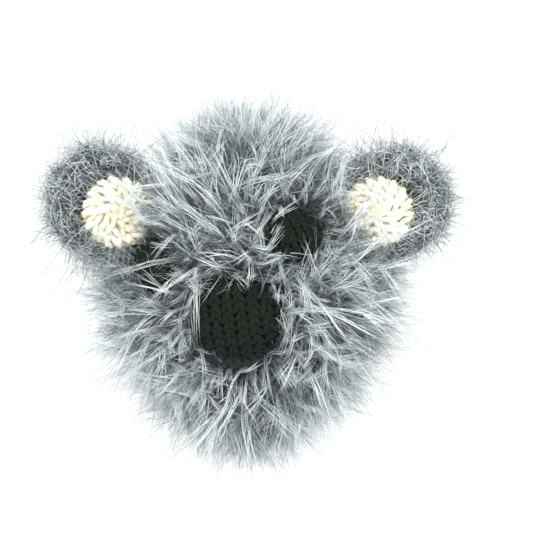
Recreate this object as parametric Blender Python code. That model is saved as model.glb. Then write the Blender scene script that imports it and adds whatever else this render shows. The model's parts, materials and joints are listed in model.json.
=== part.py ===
"""Koala sock puppet, as a hand wears it: the arm level, the face towards -Y and the cuff towards +Y.

Metres, +Z up. The origin is the middle of the cuff's open end, where the hand goes in and holds the
puppet up. Left and right are as seen by someone who faces the puppet. A knitted wall that carries long
lashes is one solid here, from the inside of the knitting to the height where the lashes lie dense.

The head is drawn in a face frame: x to the side, u up the face and f forward, out of the nose. What fits
the mouth is drawn in a mouth frame at the jaw's hinge: x, n upwards and m forward.
"""

import math

import bmesh
import bpy
from mathutils import Matrix, Vector

# Clearances
GAP = 0.0003
MOVING_CLEARANCE = 0.0015

# Arm, from the cuff's open end to the middle of the head
CUFF_LENGTH = 0.045
SLEEVE_LENGTH = 0.075
NECK_LENGTH = 0.040
HEAD_REACH = 0.095
HEAD_RISE = 0.040
TURN_ANGLE = math.radians(25)
NOD_ANGLE = math.radians(20)

# Sections of the arm
ARM_HALF_WIDTH = 0.054
ARM_HALF_HEIGHT = 0.037
HOLLOW_HALF_WIDTH = 0.042
HOLLOW_HALF_HEIGHT = 0.025
CUFF_HALF_WIDTH = 0.047
CUFF_HALF_HEIGHT = 0.030
CUFF_WALL = 0.005

# The knitted head, measured to the outside of the knitting
HEAD_HALF_WIDTH = 0.062
HEAD_CROWN = 0.072
HEAD_CHIN = 0.076
HEAD_FRONT = 0.066
HEAD_BACK = 0.060
CROWN_TAPER = 0.30
CHIN_TAPER = 0.28
KNIT = 0.004
PILE = 0.014

# The mouth, with its hinge behind the middle of the head
MOUTH_DROP = 0.046
HINGE_BACK = 0.020
MOUTH_START = 0.005
JAW_LEAN = math.radians(19)
FELT = 0.0015
BOARD = 0.002
BOARD_INSET = 0.003
HINGE_FOLD_RADIUS = 0.003
POCKET_WALL = 0.002
FINGER_POCKET_WIDTH = 0.084
FINGER_POCKET_HEIGHT = 0.032
FINGER_POCKET_LENGTH = 0.066
THUMB_POCKET_WIDTH = 0.040
THUMB_POCKET_HEIGHT = 0.018
THUMB_POCKET_LENGTH = 0.046

# Face
NOSE_AT = (-0.0050, -0.0195)
NOSE_HALF_WIDTH = 0.021
NOSE_HALF_HEIGHT = 0.022
NOSE_HALF_DEPTH = 0.0110
NOSE_STANDS = 0.0040
NOSE_WALL = 0.003
EYES_AT = {"left": (-0.0450, 0.0100), "right": (0.0225, 0.0245)}
EYE_RADIUS = 0.0130
EYE_THICKNESS = 0.0050
PATCH_ROOM = 0.002
THREAD_RADIUS = 0.0005

# Ears
EAR_TILT = math.radians(28)
EAR_FORWARD = 0.022
EAR_SEAM_DEPTH = 0.008
EAR_RADIUS = 0.029
EAR_REACH = 0.020
EAR_BACK_THICKNESS = 0.005
EAR_WADDING_THICKNESS = 0.0044
EAR_FRONT_THICKNESS = 0.006
EAR_WADDING_INSET = 0.004
EAR_ROOT_RADIUS = 0.005
EAR_BACK_LOW = -0.008
EAR_ROOT_LENGTH = 0.046
EAR_GROOVE_RADIUS = 0.0190
EAR_DISC_RADIUS = 0.0180
EAR_DISC_REACH = 0.0105
EAR_DISC_THICKNESS = 0.0040
EAR_DISC_BASE = -0.0020

# How finely curves are cut into facets
EGG_DETAIL = 4
CAVITY_DETAIL = 3
ARM_FACETS = 36
ROUND_FACETS = 24
ARM_SQUARENESS = 2.4
FAR = 0.4
SMOOTH_UP_TO = math.radians(38)

SPEC = {
    "lash_knit": ((0.30, 0.34, 0.35), 0.9),
    "rib_knit": ((0.10, 0.115, 0.12), 0.9),
    "black_wool": ((0.020, 0.027, 0.022), 0.9),
    "cream_wool": ((0.84, 0.83, 0.70), 0.9),
    "felt": ((0.055, 0.06, 0.062), 0.95),
    "card": ((0.55, 0.45, 0.32), 0.8),
    "wadding": ((0.86, 0.86, 0.84), 1.0),
    "lining": ((0.12, 0.13, 0.135), 0.9),
}


TURN = Vector((0, -CUFF_LENGTH - SLEEVE_LENGTH, 0))
NOD = TURN - Vector((0, NECK_LENGTH, 0))
HEAD = NOD + Vector((0, -HEAD_REACH, HEAD_RISE))
HINGE = HEAD + Vector((0, HINGE_BACK, -MOUTH_DROP))


def frame(origin):
    """Columns x, up and forward, with forward along -Y."""
    turn = Matrix(((1, 0, 0), (0, 0, -1), (0, 1, 0)))
    return Matrix.Translation(origin) @ turn.to_4x4()


FACE = frame(HEAD)
MOUTH = frame(HINGE)
MOUTH_SECTION = MOUTH @ Matrix(((0, 0, 1), (0, 1, 0), (1, 0, 0))).to_4x4()


def clear_scene():
    for obj in list(bpy.data.objects):
        bpy.data.objects.remove(obj)


def make_materials():
    for name, (colour, roughness) in SPEC.items():
        material = bpy.data.materials.new(name)
        material.use_nodes = True
        shader = material.node_tree.nodes["Principled BSDF"]
        shader.inputs["Base Color"].default_value = (*colour, 1)
        shader.inputs["Roughness"].default_value = roughness
        shader.inputs["Metallic"].default_value = 0


def made(name, bm, material=None):
    """An object from a bmesh; with no material it is a cutter, which never shows."""
    bmesh.ops.recalc_face_normals(bm, faces=bm.faces)
    if bm.calc_volume(signed=True) < 0:
        bmesh.ops.reverse_faces(bm, faces=bm.faces)
    mesh = bpy.data.meshes.new(name)
    bm.to_mesh(mesh)
    bm.free()
    mesh.shade_smooth()
    mesh.set_sharp_from_angle(angle=SMOOTH_UP_TO)
    obj = bpy.data.objects.new(name, mesh)
    bpy.context.scene.collection.objects.link(obj)
    if material is None:
        obj.hide_render = True
        obj.display_type = "WIRE"
    else:
        mesh.materials.append(bpy.data.materials[material])
    return obj


def combine(obj, tool, operation="DIFFERENCE"):
    modifier = obj.modifiers.new(operation.title(), "BOOLEAN")
    modifier.operation = operation
    modifier.object = tool
    return obj


# Shapes


def head_radii(direction, grow):
    """The half-axes of the head, grown outwards, that hold in this direction of the face frame."""
    taper = CROWN_TAPER if direction.y > 0 else CHIN_TAPER
    height = HEAD_CROWN if direction.y > 0 else HEAD_CHIN
    depth = HEAD_FRONT if direction.z > 0 else HEAD_BACK
    width = HEAD_HALF_WIDTH + grow
    return width * (1 - taper * direction.y**2), height + grow, depth + grow


def head_point(direction, grow):
    """Where this direction of the face frame leaves the head, grown outwards by grow."""
    direction = direction.normalized()
    share = sum((c / r) ** 2 for c, r in zip(direction, head_radii(direction, grow), strict=True))
    return direction / math.sqrt(share)


def on_face(x, u, grow):
    """The point of the grown head's front that stands at x and u."""
    found = Vector((x, u, HEAD_FRONT))
    for _ in range(6):
        found = head_point(found, grow)
        width, height, depth = head_radii(found.normalized(), grow)
        rest = max(0.0, 1 - (x / width) ** 2 - (u / height) ** 2)
        found = Vector((x, u, depth * math.sqrt(rest)))
    return found


def egg(name, grow, detail, material=None):
    """The closed surface of the head, grown outwards by grow."""
    bm = bmesh.new()
    bmesh.ops.create_icosphere(bm, subdivisions=detail, radius=1)
    for vertex in bm.verts:
        vertex.co = FACE @ head_point(vertex.co, grow)
    return made(name, bm, material)


def plate(name, outline, low, high, placed, material=None):
    """A solid with this outline in the first two directions of a frame, from low to high in the third."""
    bm = bmesh.new()
    for level in (low, high):
        for first, second in outline:
            bm.verts.new(placed @ Vector((first, second, level)))
    bm.verts.ensure_lookup_table()
    count = len(outline)
    bm.faces.new(bm.verts[:count])
    bm.faces.new(bm.verts[count:])
    for i in range(count):
        j = (i + 1) % count
        bm.faces.new([bm.verts[k] for k in (i, j, count + j, count + i)])
    return made(name, bm, material)


def slab(name, low, high, start, end, half_width, material=None):
    """A flat slab of the mouth frame, from start to end forward of the wrist line."""
    outline = [(start, low), (end, low), (end, high), (start, high)]
    return plate(name, outline, -half_width, half_width, MOUTH_SECTION, material)


def circle(radius, facets=ROUND_FACETS, stretch=1.0):
    angles = [2 * math.pi * i / facets for i in range(facets)]
    return [(radius * math.cos(a), radius * stretch * math.sin(a)) for a in angles]


def rod(name, radius, length, placed, material=None):
    """A cylinder along the second direction of a frame, about its origin."""
    along = placed @ Matrix.Rotation(-math.pi / 2, 4, "X")
    return plate(name, circle(radius), -length / 2, length / 2, along, material)


def superellipse(half_width, half_height):
    """A soft oval in x and z."""
    points = []
    for i in range(ARM_FACETS):
        angle = 2 * math.pi * (i + 0.5) / ARM_FACETS
        cosine, sine = math.cos(angle), math.sin(angle)
        x = half_width * math.copysign(abs(cosine) ** (2 / ARM_SQUARENESS), cosine)
        z = half_height * math.copysign(abs(sine) ** (2 / ARM_SQUARENESS), sine)
        points.append((x, z))
    return points


def tube(name, section, start, end, material=None):
    """A section of x and z points carried along y; start and end are places that depend on x and z."""
    bm = bmesh.new()
    for place in (start, end):
        for x, z in section:
            bm.verts.new(Vector((x, place(x, z), z)))
    bm.verts.ensure_lookup_table()
    count = len(section)
    for base in (0, count):
        middle = bm.verts.new(Vector((0, (start, end)[base > 0](0, 0), 0)))
        bm.verts.ensure_lookup_table()
        for i in range(count):
            bm.faces.new((bm.verts[base + i], bm.verts[base + (i + 1) % count], middle))
    for i in range(count):
        j = (i + 1) % count
        bm.faces.new([bm.verts[k] for k in (i, j, count + j, count + i)])
    bmesh.ops.triangulate(bm, faces=bm.faces)
    return made(name, bm, material)


def ring(name, around, material):
    """A closed thread through these points of the face frame."""
    curve = bpy.data.curves.new(name, "CURVE")
    curve.dimensions = "3D"
    curve.bevel_depth = THREAD_RADIUS
    curve.bevel_resolution = 1
    spline = curve.splines.new("POLY")
    spline.points.add(len(around) - 1)
    spline.use_cyclic_u = True
    for point, place in zip(spline.points, around, strict=True):
        point.co = (*(FACE @ place), 1)
    curve.materials.append(bpy.data.materials[material])
    obj = bpy.data.objects.new(name, curve)
    bpy.context.scene.collection.objects.link(obj)
    return obj


# Cutters and rooms


def cavity(name, inset, material=None):
    """The space inside the knitting, with this much room kept to it."""
    return egg(name, -KNIT - inset, CAVITY_DETAIL, material)


def fold_line(pivot, angle, across, towards):
    """The place along y of an edge beside a fold: it leaves room for half the angle on each side."""
    slant = math.tan(angle / 2)

    def place(x, z):
        distance = abs((x, z)[across])
        return pivot.y + towards * (MOVING_CLEARANCE + distance * slant)

    return place


def level(y):
    return lambda x, z: y


def arm_hollow(name):
    section = superellipse(HOLLOW_HALF_WIDTH, HOLLOW_HALF_HEIGHT)
    return tube(name, section, level(HINGE.y), level(FAR))


def mouth_room():
    """What the head leaves free below the mouth, in front of the throat, for the jaw to open."""
    lean = FAR * math.tan(JAW_LEAN)
    outline = [(FAR, GAP), (0, GAP), (-lean, GAP - FAR), (FAR, GAP - FAR)]
    return plate("mouth_room", outline, -FAR / 2, FAR / 2, MOUTH_SECTION)


def jaw_room():
    """Where the jaw lies, in front of a plane that leans away from the throat."""
    lean = FAR * math.tan(JAW_LEAN)
    start = MOUTH_START
    outline = [(FAR, -GAP), (start, -GAP), (start + lean, -GAP - FAR), (FAR, -GAP - FAR)]
    return plate("jaw_room", outline, -FAR / 2, FAR / 2, MOUTH_SECTION)


# Pieces


def make_head():
    """The knitting of the head, with the lashes on it and the stub that meets the neck."""
    shell = egg("head_knit", PILE, EGG_DETAIL, "lash_knit")
    for name, at, half_width, half_height in patches():
        combine(shell, patch_hole(name, at, half_width, half_height))
    for side in EYES_AT:
        length = 2 * (EAR_RADIUS + MOVING_CLEARANCE)
        combine(shell, rod(f"{side}_ear_groove", EAR_GROOVE_RADIUS, length, ear_frame(side)))
    combine(shell, bpy.data.objects["knit_surface"], "UNION")
    for side in EYES_AT:
        combine(shell, ear_seat(side))
    arm = superellipse(ARM_HALF_WIDTH, ARM_HALF_HEIGHT)
    stub = tube("head_stub", arm, level(HEAD.y), fold_line(NOD, NOD_ANGLE, 1, -1))
    combine(shell, stub, "UNION")
    combine(shell, cavity("head_cavity", 0))
    combine(shell, mouth_room())
    combine(shell, arm_hollow("head_passage"))


def patches():
    yield "nose", NOSE_AT, NOSE_HALF_WIDTH, NOSE_HALF_HEIGHT
    for side, at in EYES_AT.items():
        yield f"{side}_eye", at, EYE_RADIUS, EYE_RADIUS


def patch_axes(at):
    """The face frame moved to a patch of the face and turned to look straight out of it."""
    middle = on_face(*at, 0)
    out = Vector(c / r**2 for c, r in zip(middle, head_radii(middle.normalized(), 0), strict=True))
    out.normalize()
    up = (Vector((0, 1, 0)) - out * out.y).normalized()
    side = up.cross(out)
    turn = Matrix((side, up, out)).transposed().to_4x4()
    return FACE @ Matrix.Translation(middle) @ turn


def patch_hole(name, at, half_width, half_height):
    """The room in the lashes over a sewn-on patch, down to the knitting."""
    stretch = (half_height + PATCH_ROOM) / (half_width + PATCH_ROOM)
    outline = circle(half_width + PATCH_ROOM, stretch=stretch)
    return plate(f"{name}_hole", outline, -HEAD_FRONT / 4, HEAD_FRONT, patch_axes(at))


def make_nose():
    placed = patch_axes(NOSE_AT) @ Matrix.Translation((0, 0, NOSE_STANDS))

    def bulb(name, inset, material=None):
        bm = bmesh.new()
        bmesh.ops.create_uvsphere(bm, u_segments=ROUND_FACETS, v_segments=ROUND_FACETS // 2, radius=1)
        for vertex in bm.verts:
            vertex.co.x *= NOSE_HALF_WIDTH - inset
            vertex.co.y *= NOSE_HALF_HEIGHT - inset
            vertex.co.z *= NOSE_HALF_DEPTH - inset
            vertex.co = placed @ vertex.co
        return made(name, bm, material)

    cover = bulb("nose_cover", 0, "black_wool")
    combine(cover, bulb("nose_hollow", NOSE_WALL))
    combine(cover, bpy.data.objects["knit_clearance"])
    filling = bulb("nose_stuffing", NOSE_WALL + GAP, "wadding")
    combine(filling, bpy.data.objects["knit_clearance"])
    seam_ring("nose_seam_thread", NOSE_AT, NOSE_HALF_WIDTH, NOSE_HALF_HEIGHT)


def make_eyes():
    for side, at in EYES_AT.items():
        name = f"{side}_eye"
        eye = plate(name, circle(EYE_RADIUS), -HEAD_FRONT / 4, HEAD_FRONT / 4, patch_axes(at), "black_wool")
        surface = egg(f"{name}_surface", EYE_THICKNESS, EGG_DETAIL)
        combine(eye, surface, "INTERSECT")
        combine(eye, bpy.data.objects["knit_clearance"])
        seam_ring(f"{name}_seam_thread", at, EYE_RADIUS, EYE_RADIUS)


def seam_ring(name, at, half_width, half_height):
    """The thread that is sewn round a patch, lying on the knitting beside it."""
    to_face = FACE.inverted() @ patch_axes(at)
    room = PATCH_ROOM / 2
    outline = circle(half_width + room, stretch=(half_height + room) / (half_width + room))
    around = [head_point(to_face @ Vector((x, y, 0)), THREAD_RADIUS + 2 * GAP) for x, y in outline]
    return ring(name, around, "black_wool")


def ear_frame(side):
    """e out of the head, t along the seam and f forward, at the middle of an ear's seam."""
    sign = -1 if side == "left" else 1
    out = Vector((sign * math.cos(EAR_TILT), math.sin(EAR_TILT), 0))
    along = Vector((0, 0, 1)).cross(out)
    width, height, _ = head_radii(out, PILE)
    level = math.sqrt(1 - (EAR_FORWARD / (HEAD_FRONT + PILE)) ** 2)
    reach = level / math.hypot(out.x / width, out.y / height) - EAR_SEAM_DEPTH
    turn = Matrix((out, along, Vector((0, 0, 1)))).transposed().to_4x4()
    return FACE @ Matrix.Translation(out * reach + Vector((0, 0, EAR_FORWARD))) @ turn


def round_from(base, middle, radius):
    """A circle about (middle, 0) of which only what lies beyond base in the first direction is kept."""
    half = math.acos(max(-1.0, min(1.0, (base - middle) / radius)))
    count = ROUND_FACETS
    angles = [half * (2 * i / count - 1) for i in range(count + 1)]
    return [(middle + radius * math.cos(a), radius * math.sin(a)) for a in angles]


def ear_seat(side):
    """The room that an ear's root and back need in the knitting they are sewn to."""
    placed = ear_frame(side)
    seat = rod(f"{side}_ear_seat", EAR_ROOT_RADIUS + GAP, EAR_ROOT_LENGTH + 2 * GAP, placed)
    low = EAR_BACK_LOW - GAP
    high = EAR_BACK_LOW + EAR_BACK_THICKNESS + GAP
    back = plate(f"{side}_ear_back_room", round_from(-GAP, EAR_REACH, EAR_RADIUS + GAP), low, high, placed)
    return combine(seat, back, "UNION")


def make_ear(side, placed):
    clear = EAR_ROOT_RADIUS + 2 * GAP
    back_low = EAR_BACK_LOW
    back_high = back_low + EAR_BACK_THICKNESS
    back = plate(
        f"{side}_ear_back",
        round_from(0, EAR_REACH, EAR_RADIUS),
        back_low,
        back_high,
        placed,
        "lash_knit",
    )
    combine(back, rod(f"{side}_ear_root", EAR_ROOT_RADIUS, EAR_ROOT_LENGTH, placed), "UNION")
    wad_low = back_high + GAP
    wad_high = wad_low + EAR_WADDING_THICKNESS
    plate(
        f"{side}_ear_wadding",
        round_from(clear, EAR_REACH, EAR_RADIUS - EAR_WADDING_INSET),
        wad_low,
        wad_high,
        placed,
        "wadding",
    )
    front_low = wad_high + GAP
    front_high = front_low + EAR_FRONT_THICKNESS
    plate(
        f"{side}_ear_front",
        round_from(clear, EAR_REACH, EAR_RADIUS),
        front_low,
        front_high,
        placed,
        "lash_knit",
    )
    disc_low = max(front_high, EAR_ROOT_RADIUS) + GAP
    plate(
        f"{side}_ear_inner",
        round_from(EAR_DISC_BASE, EAR_DISC_REACH, EAR_DISC_RADIUS),
        disc_low,
        disc_low + EAR_DISC_THICKNESS,
        placed,
        "cream_wool",
    )


def mouth_layer(name, low, high, inset, material):
    """A sheet of the mouth's roof or floor, cut to the inside of the knitting."""
    layer = slab(name, low, high, MOUTH_START, FAR, FAR / 2, material)
    return combine(layer, cavity(f"{name}_outline", inset), "INTERSECT")


def pocket(name, low, high, width, length, material):
    """A flat pocket for fingers, open to the wrist, closed in front."""
    start = MOUTH_START
    outer = slab(name, low, high, start, start + length, width / 2, material)
    combine(outer, cavity(f"{name}_outline", GAP), "INTERSECT")
    hollow = slab(
        f"{name}_hollow",
        low + POCKET_WALL,
        high - POCKET_WALL,
        start - POCKET_WALL,
        start + length - POCKET_WALL,
        width / 2 - POCKET_WALL,
    )
    combine(hollow, cavity(f"{name}_room", GAP + POCKET_WALL), "INTERSECT")
    return combine(outer, hollow)


def make_upper_mouth():
    felt_top = GAP + FELT
    board_top = felt_top + GAP + BOARD
    pocket_top = board_top + GAP + FINGER_POCKET_HEIGHT
    mouth_layer("upper_mouth_felt", GAP, felt_top, GAP, "felt")
    mouth_layer("upper_mouth_board", felt_top + GAP, board_top, BOARD_INSET, "card")
    pocket(
        "finger_pocket",
        board_top + GAP,
        pocket_top,
        FINGER_POCKET_WIDTH,
        FINGER_POCKET_LENGTH,
        "lining",
    )
    filling = cavity("head_stuffing", GAP, "wadding")
    above = slab("above_fingers", pocket_top + GAP, FAR, -FAR, FAR, FAR / 2)
    combine(filling, above, "INTERSECT")


def make_jaw():
    room = jaw_room()
    shell = egg("jaw_knit", PILE, EGG_DETAIL, "lash_knit")
    combine(shell, cavity("jaw_cavity", 0))
    combine(shell, room, "INTERSECT")
    felt_low = -GAP - FELT
    board_low = felt_low - GAP - BOARD
    pocket_low = board_low - GAP - THUMB_POCKET_HEIGHT
    mouth_layer("lower_mouth_felt", felt_low, -GAP, GAP, "felt")
    mouth_layer("lower_mouth_board", board_low, felt_low - GAP, BOARD_INSET, "card")
    thumb = pocket(
        "thumb_pocket",
        pocket_low,
        board_low - GAP,
        THUMB_POCKET_WIDTH,
        THUMB_POCKET_LENGTH,
        "lining",
    )
    combine(thumb, room, "INTERSECT")
    fold = plate("mouth_hinge_fold", circle(HINGE_FOLD_RADIUS), -FAR / 2, FAR / 2, MOUTH_SECTION, "felt")
    combine(fold, cavity("hinge_fold_outline", BOARD_INSET), "INTERSECT")


def arm_section():
    return superellipse(ARM_HALF_WIDTH, ARM_HALF_HEIGHT)


def make_neck():
    after_nod = fold_line(NOD, NOD_ANGLE, 1, 1)
    before_turn = fold_line(TURN, TURN_ANGLE, 0, -1)
    neck = tube("neck_knit", arm_section(), after_nod, before_turn, "lash_knit")
    combine(neck, arm_hollow("neck_passage"))


def make_sleeve():
    after_turn = fold_line(TURN, TURN_ANGLE, 0, 1)
    sleeve = tube("sleeve_knit", arm_section(), after_turn, level(-CUFF_LENGTH - GAP), "lash_knit")
    combine(sleeve, arm_hollow("sleeve_passage"))
    section = superellipse(CUFF_HALF_WIDTH, CUFF_HALF_HEIGHT)
    cuff = tube("cuff_rib", section, level(-CUFF_LENGTH), level(0), "rib_knit")
    inside = superellipse(CUFF_HALF_WIDTH - CUFF_WALL, CUFF_HALF_HEIGHT - CUFF_WALL)
    combine(cuff, tube("cuff_passage", inside, level(-2 * CUFF_LENGTH), level(CUFF_LENGTH)))


def hang(name, pivot, *steps):
    """Makes the pieces of one moving body and hangs them on an empty that stands on its joint."""
    before = set(bpy.data.objects)
    for step in steps:
        step()
    axis = bpy.data.objects.new(f"{name}_axis", None)
    bpy.context.scene.collection.objects.link(axis)
    axis.location = pivot
    for obj in set(bpy.data.objects) - before - {axis}:
        if obj.display_type != "WIRE":
            obj.parent = axis
            obj.matrix_parent_inverse = Matrix.Translation(-pivot)


def main():
    clear_scene()
    make_materials()
    egg("knit_surface", 0, EGG_DETAIL)
    egg("knit_clearance", GAP, EGG_DETAIL)
    hang("head", NOD, make_head, make_nose, make_eyes, make_upper_mouth)
    hang("jaw", HINGE, make_jaw)
    for side in EYES_AT:
        placed = ear_frame(side)
        hang(f"{side}_ear", placed.translation, lambda: make_ear(side, placed))
    hang("neck", TURN, make_neck)
    make_sleeve()


main()
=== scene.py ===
"""Builds the look of a hand-knitted koala puppet round its packed frame.

The knitting, its long lashes, the crocheted ears, the nose, the eyes, the ribbed cuff and the mouth
are each made by their own operator. Metres, +Z up, the face towards -Y.
"""

import json
import math
from collections import namedtuple

import bmesh
import bpy
import numpy as np
from bpy.props import FloatProperty, FloatVectorProperty, IntProperty, PointerProperty
from mathutils import Matrix, Vector

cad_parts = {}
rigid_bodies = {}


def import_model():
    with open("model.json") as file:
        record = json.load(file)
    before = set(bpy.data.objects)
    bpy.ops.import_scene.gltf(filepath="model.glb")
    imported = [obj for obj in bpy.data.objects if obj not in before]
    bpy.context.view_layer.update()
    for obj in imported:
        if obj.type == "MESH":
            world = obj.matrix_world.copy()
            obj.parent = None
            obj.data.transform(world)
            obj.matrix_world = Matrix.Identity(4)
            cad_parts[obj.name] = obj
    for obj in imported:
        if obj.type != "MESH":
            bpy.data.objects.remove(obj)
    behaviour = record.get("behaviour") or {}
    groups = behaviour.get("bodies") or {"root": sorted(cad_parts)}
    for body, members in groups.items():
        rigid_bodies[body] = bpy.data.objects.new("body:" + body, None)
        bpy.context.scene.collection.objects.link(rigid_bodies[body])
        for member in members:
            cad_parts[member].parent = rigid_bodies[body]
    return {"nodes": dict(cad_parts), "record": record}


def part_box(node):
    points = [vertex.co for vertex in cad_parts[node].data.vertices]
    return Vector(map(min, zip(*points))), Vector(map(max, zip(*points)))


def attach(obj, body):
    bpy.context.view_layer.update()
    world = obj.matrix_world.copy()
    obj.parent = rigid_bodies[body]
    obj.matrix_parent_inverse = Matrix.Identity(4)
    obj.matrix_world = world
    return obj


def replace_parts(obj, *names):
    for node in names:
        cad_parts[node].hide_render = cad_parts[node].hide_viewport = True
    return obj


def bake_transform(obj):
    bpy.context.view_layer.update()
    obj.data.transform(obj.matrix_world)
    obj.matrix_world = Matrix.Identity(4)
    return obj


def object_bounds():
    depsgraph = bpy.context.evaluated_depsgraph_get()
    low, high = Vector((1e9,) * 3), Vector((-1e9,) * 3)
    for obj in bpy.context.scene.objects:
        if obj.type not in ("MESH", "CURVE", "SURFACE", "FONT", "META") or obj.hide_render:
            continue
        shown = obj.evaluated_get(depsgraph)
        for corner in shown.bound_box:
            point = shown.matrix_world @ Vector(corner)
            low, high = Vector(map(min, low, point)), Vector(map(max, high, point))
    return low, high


bl_info = {
    "name": "Koala Sock Puppet",
    "version": (1, 0, 0),
    "blender": (4, 5, 0),
    "location": "3D Viewport > Sidebar > Puppet",
    "description": "Makes a knitted koala hand puppet with long lashes and crocheted ears",
    "category": "Add Mesh",
}

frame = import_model()
CAD_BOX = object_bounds()
JOINTS = {joint["name"]: joint for joint in frame["record"]["behaviour"]["joints"]}


def joint_place(name):
    return Vector(JOINTS[name]["pos_m"])


def box_of(name):
    """The low and high corners of a frame piece."""
    return tuple(Vector(corner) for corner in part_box(name))


TURN = joint_place("head_turn")
NOD = joint_place("head_nod")
HINGE = joint_place("mouth_open")
HEAD_LOW, HEAD_HIGH = box_of("head_knit")
JAW_LOW = box_of("jaw_knit")[0]
SLEEVE_HIGH = box_of("sleeve_knit")[1]
CUFF_LOW, CUFF_HIGH = box_of("cuff_rib")
NECK_MIDDLE = (TURN.y + NOD.y) / 2
JAW_BACK = HINGE.y + 0.014  # where the jaw's cloth parts from the head's
SLEEVE_END = SLEEVE_HIGH.y - 0.002
OVAL = 2 / 2.4  # the power that squares the arm's oval a little
TONES = 24  # greys that a lash may take
MOST_STRANDS = 8000  # in one piece


# Settings that a user would change


def metres(name, description, default):
    return FloatProperty(name=name, description=description, default=default, unit="LENGTH")


def share_of(name, description, default, lowest=0.0):
    return FloatProperty(name=name, description=description, default=default, min=lowest)


def angle_of(name, description, default):
    return FloatProperty(name=name, description=description, default=default, subtype="ANGLE")


def tint(name, description, default):
    return FloatVectorProperty(
        name=name, description=description, default=default, subtype="COLOR", min=0, max=1
    )


class PuppetSizes(bpy.types.PropertyGroup):
    pile: metres("Pile", "From the knitting out to the frame's surface: room for lashes", 0.014)
    arm_pile: metres("Arm Pile", "The same room on the sleeve and the neck", 0.0085)
    hinge_back: metres("Hinge Back", "From the middle of the head back to the mouth's hinge", 0.020)
    mouth_drop: metres("Mouth Drop", "From the middle of the head down to the mouth", 0.046)
    crown_taper: share_of("Crown Taper", "How much narrower the crown is", 0.30)
    chin_taper: share_of("Chin Taper", "How much narrower the chin is", 0.28)
    head_back: metres("Head Back", "From the middle of the head to the back of its knitting", 0.060)
    cloth: metres("Cloth Thickness", "How thick the knitted cloth is", 0.003)
    stitch: metres("Stitch Width", "Width of a stitch in thick yarn", 0.0052)
    face_roll: angle_of("Face Roll", "How far the face is turned on the head", 0.19)


class LashSettings(bpy.types.PropertyGroup):
    length: metres("Length", "Length of the lashes on the head", 0.031)
    chin_length: metres("Chin Length", "Length of the lashes under the mouth", 0.036)
    arm_length: metres("Arm Length", "Length of the lashes on the sleeve", 0.022)
    radius: metres("Radius", "Radius of one lash at its root", 0.00017)
    thickness: share_of("Thickness", "How many tufts of lashes there are", 1.0, 0.05)
    room: metres("Room", "How far lashes may reach beyond the box of the whole frame", 0.0145)
    seed: IntProperty(name="Seed", description="Changes how the lashes fall", default=7)


class PuppetColours(bpy.types.PropertyGroup):
    lash_dark: tint("Dark Lash", "The darkest lashes", (0.045, 0.060, 0.064))
    lash_middle: tint("Grey Lash", "Most of the lashes", (0.40, 0.47, 0.48))
    lash_light: tint("Silver Lash", "The lightest lashes", (0.90, 0.96, 0.97))
    ground: tint("Ground Yarn", "The yarn that the lashes stand on", (0.020, 0.026, 0.028))
    black: tint("Black Wool", "Nose and eyes", (0.0088, 0.0135, 0.0096))
    cream: tint("Cream Cotton", "Inside of the ears", (0.78, 0.77, 0.65))
    rib: tint("Ribbing", "The ribbed cuff", (0.080, 0.095, 0.10))
    felt: tint("Mouth Felt", "Lining of the mouth", (0.045, 0.050, 0.052))


class StageSettings(bpy.types.PropertyGroup):
    view_width: metres("View Width", "Width of the view at the head", 0.2665)
    distance: metres("Camera Distance", "From the camera to the head", 1.4)
    elevation: angle_of("Camera Elevation", "How far above the face", 0.04)
    floor_drop: metres("Floor Drop", "From the puppet's chin to the floor", 0.35)
    light: share_of("Light", "Strength of the soft lights", 1.0)


def sizes():
    return bpy.context.scene.puppet_sizes


def lash_settings():
    return bpy.context.scene.puppet_lashes


def colours():
    return bpy.context.scene.puppet_colours


# The shape of the knitted head, in a face frame: x aside, u up and f forward


def head_middle():
    return HINGE + Vector((0, -sizes().hinge_back, sizes().mouth_drop))


def head_radii(direction, grow=0.0):
    """The half-axes that hold in each of these directions; direction is an array of unit rows."""
    s = sizes()
    middle = head_middle()
    up = direction[:, 1]
    taper = np.where(up > 0, s.crown_taper, s.chin_taper)
    width = (HEAD_HIGH.x - s.pile + grow) * (1 - taper * up**2)
    height = np.where(up > 0, HEAD_HIGH.z - s.pile - middle.z, middle.z - JAW_LOW.z - s.pile) + grow
    front = middle.y - HEAD_LOW.y - s.pile
    depth = np.where(direction[:, 2] > 0, front, s.head_back) + grow
    return np.stack((width, height, depth), 1)


def head_points(direction, grow=0.0):
    """Where these directions of the face frame leave the head."""
    direction = direction / np.linalg.norm(direction, axis=1, keepdims=True)
    share = np.sqrt(((direction / head_radii(direction, grow)) ** 2).sum(1, keepdims=True))
    return direction / share


def from_face(points):
    middle = np.array(head_middle())
    return middle + np.stack((points[:, 0], -points[:, 2], points[:, 1]), 1)


def patch_frame(x, u, grow=0.0):
    """A matrix that stands on the knitting at x and u: side, up and out."""
    found = np.array([[x, u, 0.05]])
    for _ in range(8):
        radii = head_radii(found / np.linalg.norm(found), grow)[0]
        rest = max(0.0, 1 - (x / radii[0]) ** 2 - (u / radii[1]) ** 2)
        found = np.array([[x, u, radii[2] * math.sqrt(rest)]])
    out = Vector(found[0] / radii**2).normalized()
    out = Vector((out.x, -out.z, out.y))
    up = (Vector((0, 0, 1)) - out * out.z).normalized()
    side = up.cross(out)
    turn = Matrix((side, up, out)).transposed().to_4x4()
    return Matrix.Translation(Vector(from_face(found)[0])) @ turn


# Meshes from arrays


def unit(rows):
    return rows / np.maximum(np.linalg.norm(rows, axis=-1, keepdims=True), 1e-12)


def in_place(points, matrix):
    """Points of the matrix's own frame, in the puppet's."""
    return points @ matrix[:3, :3].T + matrix[:3, 3]


def link(name, data):
    """A new object in the scene."""
    obj = bpy.data.objects.new(name, data)
    bpy.context.scene.collection.objects.link(obj)
    return obj


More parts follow.
